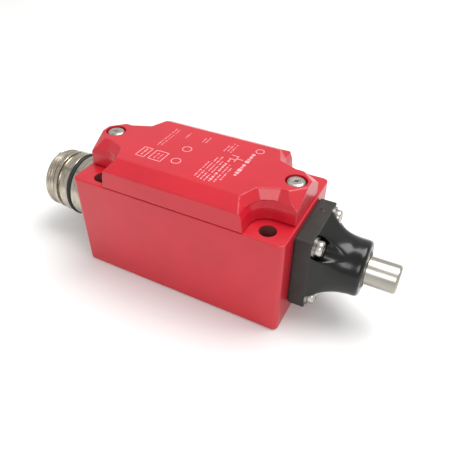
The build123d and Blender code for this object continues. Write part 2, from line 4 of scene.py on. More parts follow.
import bpy
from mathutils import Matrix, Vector

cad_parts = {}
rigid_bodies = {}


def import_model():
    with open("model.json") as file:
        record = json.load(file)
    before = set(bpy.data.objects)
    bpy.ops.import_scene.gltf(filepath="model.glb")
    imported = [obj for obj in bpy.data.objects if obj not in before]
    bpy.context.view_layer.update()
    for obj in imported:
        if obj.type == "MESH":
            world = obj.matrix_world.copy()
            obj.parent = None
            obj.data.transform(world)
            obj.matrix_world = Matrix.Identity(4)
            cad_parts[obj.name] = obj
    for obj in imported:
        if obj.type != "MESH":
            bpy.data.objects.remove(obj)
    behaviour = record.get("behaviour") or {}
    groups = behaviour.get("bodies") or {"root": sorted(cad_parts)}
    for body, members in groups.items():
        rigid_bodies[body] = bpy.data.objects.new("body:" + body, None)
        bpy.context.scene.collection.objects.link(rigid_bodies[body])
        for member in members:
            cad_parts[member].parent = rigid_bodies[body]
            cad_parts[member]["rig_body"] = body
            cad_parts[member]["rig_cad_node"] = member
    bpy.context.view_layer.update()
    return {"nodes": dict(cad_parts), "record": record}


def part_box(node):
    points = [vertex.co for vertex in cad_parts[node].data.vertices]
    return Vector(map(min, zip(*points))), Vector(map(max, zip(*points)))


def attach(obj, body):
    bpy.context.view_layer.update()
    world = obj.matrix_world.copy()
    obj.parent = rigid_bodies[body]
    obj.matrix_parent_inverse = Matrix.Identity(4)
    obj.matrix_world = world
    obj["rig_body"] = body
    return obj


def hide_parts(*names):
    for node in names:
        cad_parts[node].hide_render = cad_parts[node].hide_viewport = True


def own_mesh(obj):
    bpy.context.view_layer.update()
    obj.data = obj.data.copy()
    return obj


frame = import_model()
nodes = frame["nodes"]
mm = 0.001
mergeGap = 0.002  # points closer than this many millimetres are one point
print("frame loaded:", len(nodes), "pieces")


def toLinear(channel):
    return channel / 12.92 if channel <= 0.04045 else ((channel + 0.055) / 1.055) ** 2.4


def colour(text):
    return tuple(toLinear(int(text[i:i + 2], 16) / 255) for i in (1, 3, 5)) + (1.0,)


def grain(size):
    # scale of a noise whose patches are about this many millimetres across
    return 1 / (size * mm)


def addNode(material, kind, values=None, links=None, **settings):
    node = material.node_tree.nodes.new(kind)
    for name, value in settings.items():
        setattr(node, name, value)
    for socket, value in (values or {}).items():
        node.inputs[socket].default_value = value
    for socket, source in (links or {}).items():
        material.node_tree.links.new(source, node.inputs[socket])
    return node


def newMaterial(name, **shaderValues):
    material = bpy.data.materials.new(name)
    material.use_nodes = True
    shader = material.node_tree.nodes["Principled BSDF"]
    for socket, value in shaderValues.items():
        shader.inputs[socket.replace("_", " ")].default_value = value
    return material, shader


def finishShader(material, shader, links):
    for socket, source in links.items():
        material.node_tree.links.new(source, shader.inputs[socket])


def clearSelection():
    if bpy.context.object and bpy.context.object.mode != "OBJECT":
        bpy.ops.object.mode_set(mode="OBJECT")
    bpy.ops.object.select_all(action="DESELECT")


def only(piece):
    clearSelection()
    piece.select_set(True)
    bpy.context.view_layer.objects.active = piece


def selectFaces(piece, test):
    # from object mode, picks the faces that pass a test, then goes into edit mode
    bpy.ops.object.mode_set(mode="EDIT")
    bpy.ops.mesh.select_all(action="DESELECT")
    bpy.ops.mesh.select_mode(type="FACE")
    bpy.ops.object.mode_set(mode="OBJECT")
    for face in piece.data.polygons:
        face.select = test(face)
    bpy.ops.object.mode_set(mode="EDIT")


def subtract(piece, cutter):
    # the cutter is used up
    only(piece)
    cut = piece.modifiers.new("cut", "BOOLEAN")
    cut.operation = "DIFFERENCE"
    cut.solver = "EXACT"
    cut.object = cutter
    bpy.ops.object.modifier_apply(modifier=cut.name)
    bpy.data.objects.remove(cutter)


def applyModifiers(piece):
    only(piece)
    for modifier in list(piece.modifiers):
        bpy.ops.object.modifier_apply(modifier=modifier.name)


def tidyMesh(piece, smoothAngle=35):
    # doubles merged, faces turned outwards, round surfaces smoothed
    editAll(piece)
    bpy.ops.mesh.remove_doubles(threshold=mergeGap * mm)
    bpy.ops.mesh.normals_make_consistent(inside=False)
    bpy.ops.object.mode_set(mode="OBJECT")
    bpy.ops.object.transform_apply(location=True, rotation=True, scale=True)
    bpy.ops.object.shade_smooth_by_angle(angle=radians(smoothAngle))


def editAll(piece):
    # edit mode with the whole piece selected
    only(piece)
    bpy.ops.object.mode_set(mode="EDIT")
    bpy.ops.mesh.select_all(action="SELECT")


def remeshSoftly(piece, voxel, rounds):
    only(piece)
    piece.data.remesh_voxel_size = voxel * mm
    bpy.ops.object.voxel_remesh()
    soft = piece.modifiers.new("soft", "SMOOTH")
    soft.iterations = rounds


def joinAll(pieces, name):
    clearSelection()
    for piece in pieces:
        piece.select_set(True)
    bpy.context.view_layer.objects.active = pieces[0]
    bpy.ops.object.join()
    joined = bpy.context.object
    joined.name = joined.data.name = name
    return joined


def copyNode(name, newName):
    # a copy of a CAD node with its loose triangles merged
    piece = nodes[name].copy()
    piece.data = nodes[name].data.copy()
    piece.parent = None
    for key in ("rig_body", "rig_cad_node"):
        if key in piece:
            del piece[key]
    piece.name = piece.data.name = newName
    bpy.context.scene.collection.objects.link(piece)
    editAll(piece)
    bpy.ops.mesh.customdata_custom_splitnormals_clear()
    bpy.ops.mesh.remove_doubles(threshold=mergeGap * mm)
    bpy.ops.object.mode_set(mode="OBJECT")
    return piece


def place(piece, body, slotName, material, *replaced):
    # a piece that already has its materials keeps them
    if material:
        piece.data.materials.clear()
        piece.data.materials.append(material)
    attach(piece, body)
    if replaced:
        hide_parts(*replaced)


def lathe(name, height, profile, segments=96):
    # a ring is drawn out along X and resized at every profile point; its ends are left open for the caller to close
    clearSelection()
    startX, startR = profile[0]
    bpy.ops.mesh.primitive_circle_add(
        vertices=segments, radius=startR * mm, location=(startX * mm, 0, height * mm), rotation=(0, pi / 2, 0)
    )
    piece = bpy.context.object
    piece.name = piece.data.name = name
    bpy.ops.object.transform_apply(location=True, rotation=True, scale=True)
    bpy.ops.object.mode_set(mode="EDIT")
    bpy.ops.mesh.select_all(action="SELECT")
    for (oldX, oldR), (x, r) in zip(profile, profile[1:]):
        bpy.ops.mesh.extrude_edges_move(TRANSFORM_OT_translate={"value": ((x - oldX) * mm, 0, 0)})
        bpy.ops.transform.resize(value=(1, r / oldR, r / oldR), center_override=(x * mm, 0, height * mm))
    bpy.ops.object.mode_set(mode="OBJECT")
    return piece


def closeEnds(piece):
    # a lathe's open rings become flat faces
    editAll(piece)
    bpy.ops.mesh.fill_holes(sides=0)
    bpy.ops.object.mode_set(mode="OBJECT")


def bridgeEnds(piece):
    # the first and last rings are joined, so the wall is closed
    only(piece)
    bpy.ops.object.mode_set(mode="EDIT")
    bpy.ops.mesh.select_mode(type="EDGE")
    bpy.ops.mesh.select_all(action="DESELECT")
    bpy.ops.mesh.select_non_manifold(extend=False)
    bpy.ops.mesh.bridge_edge_loops()
    bpy.ops.object.mode_set(mode="OBJECT")


redCoat = {
    "red": "#C41428",
    "deepRed": "#BC1024",
    "orangePeel": 1.4,  # mm between the ripples of the coat
    "cloud": 14.0,
}


def makeRedCoat():
    # zinc alloy die casting under red powder coat: a satin gloss with a faint orange peel
    material, shader = newMaterial("redPowderCoat", Roughness=0.34, IOR=1.5, Coat_Weight=0.2, Coat_Roughness=0.2)
    place3d = addNode(material, "ShaderNodeTexCoord")
    clouds = addNode(
        material, "ShaderNodeTexNoise", {"Scale": grain(redCoat["cloud"]), "Detail": 3.0},
        {"Vector": place3d.outputs["Object"]},
    )
    tint = addNode(material, "ShaderNodeValToRGB", None, {"Fac": clouds.outputs["Fac"]})
    tint.color_ramp.elements[0].position = 0.35
    tint.color_ramp.elements[0].color = colour(redCoat["deepRed"])
    tint.color_ramp.elements[1].position = 0.65
    tint.color_ramp.elements[1].color = colour(redCoat["red"])
    ripple = addNode(
        material, "ShaderNodeTexNoise", {"Scale": grain(redCoat["orangePeel"]), "Detail": 2.0},
        {"Vector": place3d.outputs["Object"]},
    )
    relief = addNode(
        material, "ShaderNodeBump", {"Strength": 0.12, "Distance": 0.02 * mm}, {"Height": ripple.outputs["Fac"]}
    )
    finishShader(material, shader, {"Base Color": tint.outputs["Color"], "Normal": relief.outputs["Normal"]})
    return material


def makeMoulded(name, base, worn, roughness, pebble, depth, **extra):
    # a moulded or rubbery surface: slightly mottled, with a fine pebble from the tool
    material, shader = newMaterial(name, IOR=1.5, **extra)
    place3d = addNode(material, "ShaderNodeTexCoord")
    mottle = addNode(
        material, "ShaderNodeTexNoise", {"Scale": grain(6.0), "Detail": 4.0}, {"Vector": place3d.outputs["Object"]}
    )
    tint = addNode(material, "ShaderNodeValToRGB", None, {"Fac": mottle.outputs["Fac"]})
    tint.color_ramp.elements[0].position = 0.3
    tint.color_ramp.elements[0].color = colour(base)
    tint.color_ramp.elements[1].position = 0.75
    tint.color_ramp.elements[1].color = colour(worn)
    shine = addNode(
        material, "ShaderNodeMapRange", {"To Min": roughness - 0.05, "To Max": roughness + 0.06},
        {"Value": mottle.outputs["Fac"]},
    )
    pebbles = addNode(
        material, "ShaderNodeTexNoise", {"Scale": grain(pebble), "Detail": 2.0}, {"Vector": place3d.outputs["Object"]}
    )
    relief = addNode(
        material, "ShaderNodeBump", {"Strength": 0.25, "Distance": depth * mm}, {"Height": pebbles.outputs["Fac"]}
    )
    finishShader(
        material, shader,
        {
            "Base Color": tint.outputs["Color"], "Roughness": shine.outputs["Result"],
            "Normal": relief.outputs["Normal"],
        },
    )
    return material


def makeMetal(name, base, dull, roughness, lineSpacing, stretch, depth=0.004):
    # a worked metal: fine tool lines, drawn coarse enough to show, and patches of duller colour; on the plunger,
    # stretched along the bar, these are bands of painted reflection
    material, shader = newMaterial(name, Metallic=1.0)
    place3d = addNode(material, "ShaderNodeTexCoord")
    drawn = addNode(
        material, "ShaderNodeMapping", {"Scale": stretch}, {"Vector": place3d.outputs["Object"]}
    )
    lines = addNode(
        material, "ShaderNodeTexNoise", {"Scale": grain(lineSpacing), "Detail": 3.0},
        {"Vector": drawn.outputs["Vector"]},
    )
    patches = addNode(
        material, "ShaderNodeTexNoise", {"Scale": grain(2.0), "Detail": 4.0}, {"Vector": drawn.outputs["Vector"]}
    )
    tint = addNode(material, "ShaderNodeValToRGB", None, {"Fac": patches.outputs["Fac"]})
    tint.color_ramp.elements[0].position = 0.3
    tint.color_ramp.elements[0].color = colour(dull)
    tint.color_ramp.elements[1].position = 0.6
    tint.color_ramp.elements[1].color = colour(base)
    shine = addNode(
        material, "ShaderNodeMapRange", {"To Min": roughness - 0.07, "To Max": roughness + 0.09},
        {"Value": lines.outputs["Fac"]},
    )
    relief = addNode(
        material, "ShaderNodeBump", {"Strength": 0.3, "Distance": depth * mm}, {"Height": lines.outputs["Fac"]}
    )
    finishShader(
        material, shader,
        {
            "Base Color": tint.outputs["Color"], "Roughness": shine.outputs["Result"],
            "Normal": relief.outputs["Normal"],
        },
    )
    return material


finishes = {
    "red_casting": makeRedCoat(),
    # black thermoplastic from a polished tool, glossy with a few soft patches
    "black_head": makeMoulded("blackMoulding", "#060605", "#0D0D0B", 0.2, 0.9, 0.006, Specular_IOR_Level=0.42),
    # nitrile rubber, moulded, nearly matt
    "seal_rubber": makeMoulded("nitrileRubber", "#101010", "#1C1C1B", 0.55, 0.35, 0.01),
    # zinc-plated steel, pressed heads with a bluish sheen
    "zinc_screw": makeMetal("zincPlate", "#C9C6BF", "#A29E95", 0.3, 0.25, (1, 1, 1)),
    # spring steel, oil-hardened, drawn
    "spring_steel": makeMetal("springSteel", "#9A9892", "#7C7A75", 0.32, 0.15, (1, 1, 1)),
    # turned steel with rings left by the tool
    "plated_bush": makeMetal("turnedSteel", "#8E8B84", "#6E6B65", 0.3, 0.12, (4, 1, 1)),
    # stainless bar: long faint bands along X, painted reflection in its colour, with its roughness banded the same
    # way
    "ground_steel": makeMetal("polishedSteel", "#B8B4AB", "#A09C92", 0.3, 0.5, (0.08, 1, 1)),
    # glass-filled phenolic moulding
    "insulator": makeMoulded("phenolicMoulding", "#141312", "#23211F", 0.48, 0.5, 0.01),
    # natural acetal
    "carriage_plastic": makeMoulded("acetalMoulding", "#DEDBCD", "#C9C5B4", 0.38, 0.8, 0.005),
    # rolled brass strip
    "contact_brass": makeMetal("rolledBrass", "#C79F55", "#A8853F", 0.3, 0.2, (0.3, 1, 1)),
    "silver_tip": makeMetal("silverContact", "#DAD8D2", "#BEBBB2", 0.25, 0.2, (1, 1, 1)),
    "earth_green": makeMoulded("greenLacquer", "#1F5C2C", "#2B7039", 0.35, 0.5, 0.004),
    # nickel-plated brass: turned, then plated, so warm and bright with fine rings
    "nickel_shell": makeMetal("nickelPlate", "#C6BFB1", "#A89E8D", 0.22, 0.3, (2.5, 0.5, 0.5)),
    "pin_gold": makeMetal("goldFlash", "#D8B05E", "#BF9648", 0.25, 0.2, (1, 1, 1)),
    # soft PVC insulation
    "lead_insulation": makeMoulded("softVinyl", "#D5D4D0", "#C2C1BC", 0.45, 0.6, 0.004),
}
# dirt and painted shade in the screw recesses: a brownish grey darker than the zinc
recessDirtAndShade = makeMoulded("recessDirtAndShade", "#857761", "#A39784", 0.5, 0.4, 0.01)
# the head's flange comes from a spark-eroded tool, so it is matt and a little greyer than the flare
flangeMoulding = makeMoulded("mattBlackMoulding", "#23211F", "#31302C", 0.5, 0.35, 0.02, Specular_IOR_Level=0.4)
# painted shade: the walls of the mounting holes are coloured a dark red-brown
boreShade = makeMoulded("paintedBoreShade", "#6A3431", "#84403C", 0.55, 0.6, 0.01)
# stamping ink, pale pink where it lies thin on the red
stampInk = makeMoulded("stampInk", "#EDACB0", "#E2959B", 0.5, 0.5, 0.002)
for entry in frame["record"]["subparts"]:
    slots = nodes[entry["node"]].data.materials
    slots.clear()
    slots.append(finishes[entry["material_slot"]])
print("finishes:", len(finishes))


# pan heads with a cross recess and a faint slot across it
panHead = {
    "crown": 0.42,  # share of the head's height that is rounded over
    "shoulder": 0.44,  # share of its radius outside the shank
    "shank": 3.0,
    # turn in degrees, length as a share of half the head's radius, width of its radius, depth of its height
    "recess": ((0, 2.2, 0.13, 0.16), (0, 1.2, 0.24, 0.4), (90, 1.2, 0.24, 0.4)),
    "taper": 0.72, "softEdge": 0.05,
}
coverScrews = {"headRadius": 3.22, "headHeight": 2.95, "seat": 43.5, "spread": 34.0, "turns": (14, 52)}
headScrews = {
    "headRadius": 2.5, "headHeight": 2.2, "seat": 45.5, "y": 8.7, "z": 10.4, "turns": (30, 75, 20, 120),
}


def screwHead(name, radius, height):
    # one screw head on the origin, with the top of its shank below
    clearSelection()
    bpy.ops.mesh.primitive_cylinder_add(
        vertices=64, radius=radius * mm, depth=height * mm, location=(0, 0, height * mm / 2)
    )
    piece = bpy.context.object
    piece.name = piece.data.name = name
    bpy.ops.object.transform_apply(location=True, rotation=True, scale=True)
    piece.data.materials.append(finishes["zinc_screw"])
    piece.data.materials.append(recessDirtAndShade)
    # the crown is rounded over
    selectFaces(piece, lambda face: face.normal.z > 0.9)
    bpy.ops.mesh.bevel(offset=height * panHead["crown"] * mm, segments=6, profile=0.5, affect="EDGES")
    # the shank goes down from the seat
    selectFaces(piece, lambda face: face.normal.z < -0.9)
    bpy.ops.mesh.inset(thickness=radius * panHead["shoulder"] * mm)
    bpy.ops.mesh.extrude_region_move(TRANSFORM_OT_translate={"value": (0, 0, -panHead["shank"] * mm)})
    bpy.ops.object.mode_set(mode="OBJECT")
    # slot and cross recess, cut by tapered blades
    for turn, length, width, depth in panHead["recess"]:
        clearSelection()
        bpy.ops.mesh.primitive_cube_add(size=1, location=(0, 0, height * mm), rotation=(0, 0, radians(turn)))
        blade = bpy.context.object
        blade.scale = (length * radius / 2 * mm, width * radius * mm, 2 * depth * height * mm)
        bpy.ops.object.transform_apply(location=True, rotation=True, scale=True)
        selectFaces(blade, lambda face: face.normal.z < -0.9)
        bpy.ops.transform.resize(
            value=(panHead["taper"], panHead["taper"], 1), center_override=(0, 0, height * mm)
        )
        bpy.ops.object.mode_set(mode="OBJECT")
        # the recess walls take the dirt and painted shade colour
        blade.data.materials.append(recessDirtAndShade)
        subtract(piece, blade)
    soften = piece.modifiers.new("soften", "BEVEL")
    soften.width = panHead["softEdge"] * mm
    soften.segments = 2
    soften.limit_method = "ANGLE"
    soften.angle_limit = radians(40)
    applyModifiers(piece)
    tidyMesh(piece)
    return piece


def setScrews(name, pattern, places, slotName, *replaced):
    # copies of one screw are turned, moved to their places and joined
    copies = []
    for location, rotation in places:
        screw = pattern.copy()
        screw.data = pattern.data.copy()
        bpy.context.scene.collection.objects.link(screw)
        screw.location = location
        screw.rotation_mode = "ZYX"  # the screw turns on its own axis first, then tips over
        screw.rotation_euler = rotation
        copies.append(screw)
    bpy.data.objects.remove(pattern)
    piece = joinAll(copies, name)
    bpy.ops.object.transform_apply(location=True, rotation=True, scale=True)
    place(piece, "case", slotName, None, *replaced)


side = coverScrews["spread"] * mm
setScrews(
    "coverPanScrews",
    screwHead("coverScrew", coverScrews["headRadius"], coverScrews["headHeight"]),
    [
        ((x, 0, coverScrews["seat"] * mm), (0, 0, radians(turn)))
        for x, turn in zip((-side, side), coverScrews["turns"])
    ],
    "zinc_screw",
    "cover_screws",
)
headLow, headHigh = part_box("head_body")
headMiddle = (headLow.z + headHigh.z) / 2
corners = [(y, z) for y in (-headScrews["y"], headScrews["y"]) for z in (-headScrews["z"], headScrews["z"])]
setScrews(
    "headPanScrews",
    screwHead("headScrew", headScrews["headRadius"], headScrews["headHeight"]),
    [
        ((headScrews["seat"] * mm, y * mm, headMiddle + z * mm), (0, pi / 2, radians(turn)))
        for (y, z), turn in zip(corners, headScrews["turns"])
    ],
    "zinc_screw",
    "head_screws",
)
print("screws set")


# cover: a quarter is cut to shape and mirrored both ways
coverLid = {
    "end": 38.4, "halfWidth": 20.0, "foot": 37.0, "top": 46.46,
    "bevelInner": 14.8, "bevelFoot": 43.7,
    "scallopX": 31.5, "scallopY": 15.4,
    # height and radius at the foot and head of the scallop's three parts
    "wall": ((36.0, 5.65), (42.2, 6.25)),
    "band": ((40.2, 5.77), (43.3, 6.95)),
    "flare": ((42.0, 5.86), (47.5, 10.1)),
    "reach": 16.0,
    # the slanted corner beside a screw: a point on it, the way it faces, the size of the cutting block
    "corner": (37.5, -2.6, 46.46), "cornerLean": (1, -1, 1.58), "cornerBlock": 16.0,
    "screwX": 34.0, "seat": 43.5, "bore": 3.5, "hole": 2.0,
    # start, stop and half width of the hollow underneath
    "cavity": ((-29.7, 21.8, 7.2), (-20.6, 21.8, 16.4)), "cavityTop": 43.0,
    "below": 2.0, "above": 50.0,  # cutters run this far under the foot, and up to this height
    "voxel": 0.32, "softening": 6,
}


def scallopCutter(rings, sides):
    # a cone between two heights, swept out of the corner by its own hull
    (low, lowRadius), (high, highRadius) = rings
    clearSelection()
    bpy.ops.mesh.primitive_cone_add(
        vertices=sides, radius1=lowRadius * mm, radius2=highRadius * mm, depth=(high - low) * mm,
        location=(coverLid["scallopX"] * mm, -coverLid["scallopY"] * mm, (low + high) / 2 * mm),
    )
    cutter = bpy.context.object
    bpy.ops.object.transform_apply(location=True, rotation=True, scale=True)
    bpy.ops.object.mode_set(mode="EDIT")
    for shift in ((coverLid["reach"] * mm, 0, 0), (0, -coverLid["reach"] * mm, 0)):
        bpy.ops.mesh.select_all(action="SELECT")
        bpy.ops.mesh.duplicate_move(TRANSFORM_OT_translate={"value": shift})
    bpy.ops.mesh.select_all(action="SELECT")
    bpy.ops.mesh.delete(type="EDGE_FACE")
    bpy.ops.mesh.select_all(action="SELECT")
    bpy.ops.mesh.convex_hull(use_existing_faces=False)
    bpy.ops.mesh.select_all(action="SELECT")
    bpy.ops.mesh.normals_make_consistent(inside=False)
    bpy.ops.object.mode_set(mode="OBJECT")
    return cutter


def makeCover():
    end, half = coverLid["end"] * mm, coverLid["halfWidth"] * mm
    foot, top = coverLid["foot"] * mm, coverLid["top"] * mm
    clearSelection()
    bpy.ops.mesh.primitive_cube_add(size=1, location=(end / 2, -half / 2, (foot + top) / 2))
    piece = bpy.context.object
    piece.name = piece.data.name = "coverLid"
    piece.scale = (end, half, top - foot)
    bpy.ops.object.transform_apply(location=True, rotation=True, scale=True)
    # the long bevel
    bpy.ops.object.mode_set(mode="EDIT")
    bpy.ops.mesh.select_all(action="SELECT")
    rise = top - coverLid["bevelFoot"] * mm
    run = half - coverLid["bevelInner"] * mm
    bpy.ops.mesh.bisect(
        plane_co=(0, -half, coverLid["bevelFoot"] * mm), plane_no=Vector((0, -rise, run)).normalized(),
        use_fill=True, clear_outer=True, threshold=0.001 * mm,
    )
    bpy.ops.object.mode_set(mode="OBJECT")
    for part, sides in (("wall", 64), ("band", 64), ("flare", 8)):
        subtract(piece, scallopCutter(coverLid[part], sides))
    # a slanted block takes off the outer corner beside the screw
    lean = Vector(coverLid["cornerLean"]).normalized()
    size = coverLid["cornerBlock"] * mm
    clearSelection()
    bpy.ops.mesh.primitive_cube_add(
        size=size, location=Vector(coverLid["corner"]) * mm + lean * size / 2,
        rotation=lean.to_track_quat("Z", "Y").to_euler(),
    )
    subtract(piece, bpy.context.object)
    return piece


def finishCover(piece):
    # the cut quarter loses its inner sides, is mirrored, hollowed, softened and bored
    for axis in (0, 1):
        only(piece)
        selectFaces(piece, lambda face: abs(face.center[axis]) < 0.001 * mm and abs(face.normal[axis]) > 0.99)
        bpy.ops.mesh.delete(type="FACE")
        bpy.ops.object.mode_set(mode="OBJECT")
    double = piece.modifiers.new("double", "MIRROR")
    double.use_axis = (True, True, False)
    double.merge_threshold = 0.005 * mm
    applyModifiers(piece)
    tidyMesh(piece)
    under, ceiling = coverLid["foot"] - coverLid["below"], coverLid["cavityTop"]
    above = coverLid["above"]
    for start, stop, half in coverLid["cavity"]:
        clearSelection()
        bpy.ops.mesh.primitive_cube_add(size=1, location=((start + stop) / 2 * mm, 0, (under + ceiling) / 2 * mm))
        hollow = bpy.context.object
        hollow.scale = ((stop - start) * mm, 2 * half * mm, (ceiling - under) * mm)
        bpy.ops.object.transform_apply(location=True, rotation=True, scale=True)
        subtract(piece, hollow)
    # the casting's edges are all soft, so the whole skin is remeshed finely and relaxed
    remeshSoftly(piece, coverLid["voxel"], coverLid["softening"])
    applyModifiers(piece)
    for x in (-coverLid["screwX"], coverLid["screwX"]):
        for radius, low in ((coverLid["bore"], coverLid["seat"]), (coverLid["hole"], under)):
            clearSelection()
            bpy.ops.mesh.primitive_cylinder_add(
                vertices=64, radius=radius * mm, depth=(above - low) * mm,
                location=(x * mm, 0, (above + low) / 2 * mm),
            )
            subtract(piece, bpy.context.object)
    only(piece)
    bpy.ops.object.shade_smooth_by_angle(angle=radians(42))
    place(piece, "case", "red_casting", finishes["red_casting"], "cover")


finishCover(makeCover())
print("cover shaped")


# housing: the walls of its mounting holes carry painted shade
housingBores = {"holeX": 31.8, "slotX": -28.2, "y": 15.0, "holeReach": 3.0, "slotReach": 4.7}


def makeHousing():
    piece = copyNode("housing", "housingShell")
    piece.data.materials.clear()
    piece.data.materials.append(finishes["red_casting"])
    piece.data.materials.append(boreShade)
    for face in piece.data.polygons:
        x, y, _ = face.center / mm
        nearHole = abs(x - housingBores["holeX"]) < housingBores["holeReach"]
        nearSlot = abs(x - housingBores["slotX"]) < housingBores["slotReach"]
        inBore = (nearHole or nearSlot) and abs(abs(y) - housingBores["y"]) < housingBores["holeReach"]
        # faces on the walls of the holes and the slot take the painted shade
        face.material_index = 1 if inBore and abs(face.normal.z) < 0.5 else 0
    bpy.ops.object.shade_smooth_by_angle(angle=radians(35))
    place(piece, "case", "red_casting", None, "housing")


makeHousing()
print("housing finished")


# marks on the cover: rows of dashes, frames, rings and a contact sketch, with no lettering
stampedMarks = {
    "foot": 46.42, "top": 46.495,  # the ink stands a few hundredths of a millimetre above the cover
    # rows of dashes: place along the cover, start and stop across it, width, length of a dash
    "rows": (
        (16.2, -6.4, 7.4, 1.5, 1.2), (13.5, -10.6, -3.4, 0.6, 0.5), (12.2, -12.2, -1.4, 0.6, 0.5),
        (10.7, -12.6, 1.6, 0.9, 0.75), (9.2, -13.0, -0.6, 0.6, 0.5), (7.9, -12.8, 2.2, 0.6, 0.5),
        (6.6, -12.4, 1.0, 0.6, 0.5), (5.3, -12.0, -2.4, 0.6, 0.5), (8.8, 5.4, 11.0, 0.5, 0.45),
        (7.6, 5.8, 11.0, 0.5, 0.45), (6.4, 5.2, 9.6, 0.5, 0.45),
        (-1.6, 7.0, 10.6, 0.5, 0.45), (-2.9, 7.2, 10.4, 0.5, 0.45),
        (-9.4, 6.8, 11.4, 0.5, 0.45), (-15.4, -1.6, 10.6, 0.5, 0.45), (-14.1, -1.2, 10.6, 0.4, 0.4),
        (-10.2, -9.0, -5.8, 0.5, 0.45), (-11.6, -9.2, -5.6, 0.5, 0.45), (-16.6, -9.2, -5.6, 0.7, 0.6),
    ),
    "gap": 0.4,  # between two dashes
    # plain bars of the contact sketch: centre x, centre y, length across the cover, width along it
    "bars": ((12.4, 2.6, 3.8, 0.3), (11.2, 2.0, 0.3, 2.4), (11.2, 4.2, 0.3, 2.4), (13.6, 2.8, 0.3, 2.2)),
    # the same for plain frames
    "frames": ((-11.0, -7.4, 5.6, 4.6), (-16.6, -7.4, 5.6, 3.2)),
    # centre x, centre y, radius
    "rings": ((17.2, 10.4, 1.5), (-5.0, 0.6, 1.7), (-4.3, -7.4, 1.7)),
    "frameLine": 0.28,
}


def dashes():
    # every row is broken into dashes of changing length, so it reads as fine print without being any
    found = []
    for x, start, stop, width, dash in stampedMarks["rows"]:
        y, count = start, 0
        while y < stop:
            length = dash * (1.0 + 0.45 * sin(2.3 * count + x))
            found.append((x, y + length / 2, length, width * (0.8 + 0.2 * cos(1.7 * count + x))))
            y += length + stampedMarks["gap"] * (2.4 if count % 5 == 4 else 1.0)
            count += 1
    return found


def makeMarks():
    foot, top = stampedMarks["foot"] * mm, stampedMarks["top"] * mm
    bars = list(stampedMarks["bars"]) + dashes()
    line = stampedMarks["frameLine"]
    for x, y, length, width in stampedMarks["frames"]:
        bars += [(x - width / 2, y, length + line, line), (x + width / 2, y, length + line, line)]
        bars += [(x, y - length / 2, line, width), (x, y + length / 2, line, width)]
    made = []
    for x, y, length, width in bars:
        clearSelection()
        bpy.ops.mesh.primitive_plane_add(size=1, location=(x * mm, y * mm, foot))
        bar = bpy.context.object
        bar.scale = (width * mm, length * mm, 1)
        bpy.ops.object.transform_apply(location=True, rotation=True, scale=True)
        bpy.ops.object.mode_set(mode="EDIT")
        bpy.ops.mesh.select_all(action="SELECT")
        bpy.ops.mesh.bevel(offset=min(length, width) * 0.3 * mm, segments=2, affect="VERTICES")
        bpy.ops.mesh.select_all(action="SELECT")
        bpy.ops.mesh.extrude_region_move(TRANSFORM_OT_translate={"value": (0, 0, top - foot)})
        bpy.ops.object.mode_set(mode="OBJECT")
        made.append(bar)
    for x, y, radius in stampedMarks["rings"]:
        clearSelection()
        bpy.ops.mesh.primitive_circle_add(
            vertices=40, radius=radius * mm, fill_type="NGON", location=(x * mm, y * mm, foot)
        )
        ring = bpy.context.object
        bpy.ops.object.transform_apply(location=True, rotation=True, scale=True)
        bpy.ops.object.mode_set(mode="EDIT")
        bpy.ops.mesh.select_all(action="SELECT")
        bpy.ops.mesh.inset(thickness=line * mm)
        bpy.ops.mesh.delete(type="FACE")
        bpy.ops.mesh.select_all(action="SELECT")
        bpy.ops.mesh.extrude_region_move(TRANSFORM_OT_translate={"value": (0, 0, top - foot)})
        bpy.ops.object.mode_set(mode="OBJECT")
        made.append(ring)
    piece = joinAll(made, "coverMarks")
    tidyMesh(piece)
    place(piece, "case", "red_casting", stampInk)


makeMarks()
print("marks stamped")


# head: the black moulding, with its edges softened
headShell = {
    "voxel": 0.24, "edgeSoftening": 4, "flareSoftening": 45, "flareStart": 45.4, "flangeEnd": 44.9,
    "blend": 1.2,  # length over which the flare's softening comes in
    "dot": (42.0, 5.5), "dotRadius": 0.7, "dotSunk": 0.3,
}


def makeHead():
    piece = copyNode("head_body", "headShell")
    # a small ejector dot on the flange's top face, sunk in until the remesh joins it
    x, y = headShell["dot"]
    clearSelection()
    bpy.ops.mesh.primitive_uv_sphere_add(
        segments=24, ring_count=12, radius=headShell["dotRadius"] * mm,
        location=(x * mm, y * mm, headHigh.z - headShell["dotSunk"] * mm),
    )
    piece.select_set(True)
    bpy.context.view_layer.objects.active = piece
    bpy.ops.object.join()
    remeshSoftly(piece, headShell["voxel"], headShell["edgeSoftening"])
    # the plate keeps its corners, and the flare runs into the screw pockets softly
    flare = piece.vertex_groups.new(name="flare")
    start = headShell["flareStart"] * mm
    for point in piece.data.vertices:
        share = (point.co.x - start) / (headShell["blend"] * mm)
        flare.add([point.index], min(1.0, max(0.0, share)), "REPLACE")
    flowing = piece.modifiers.new("flowing", "SMOOTH")
    flowing.iterations = headShell["flareSoftening"]
    flowing.vertex_group = flare.name
    applyModifiers(piece)
    bpy.ops.object.shade_smooth()
    piece.data.materials.clear()
    piece.data.materials.append(finishes["black_head"])
    piece.data.materials.append(flangeMoulding)
    for face in piece.data.polygons:
        face.material_index = 1 if face.center.x < headShell["flangeEnd"] * mm else 0
    place(piece, "case", "black_head", None, "head_body")


makeHead()
print("head shaped")


# plunger: a pin with a groove for its retaining ring
plungerPin = {
    "radius": 4.7, "inner": 44.0, "tip": 70.3, "rounding": 1.0, "height": 21.0,
    "groove": 3.9, "chamfer": 0.4, "centre": 0.4,
}


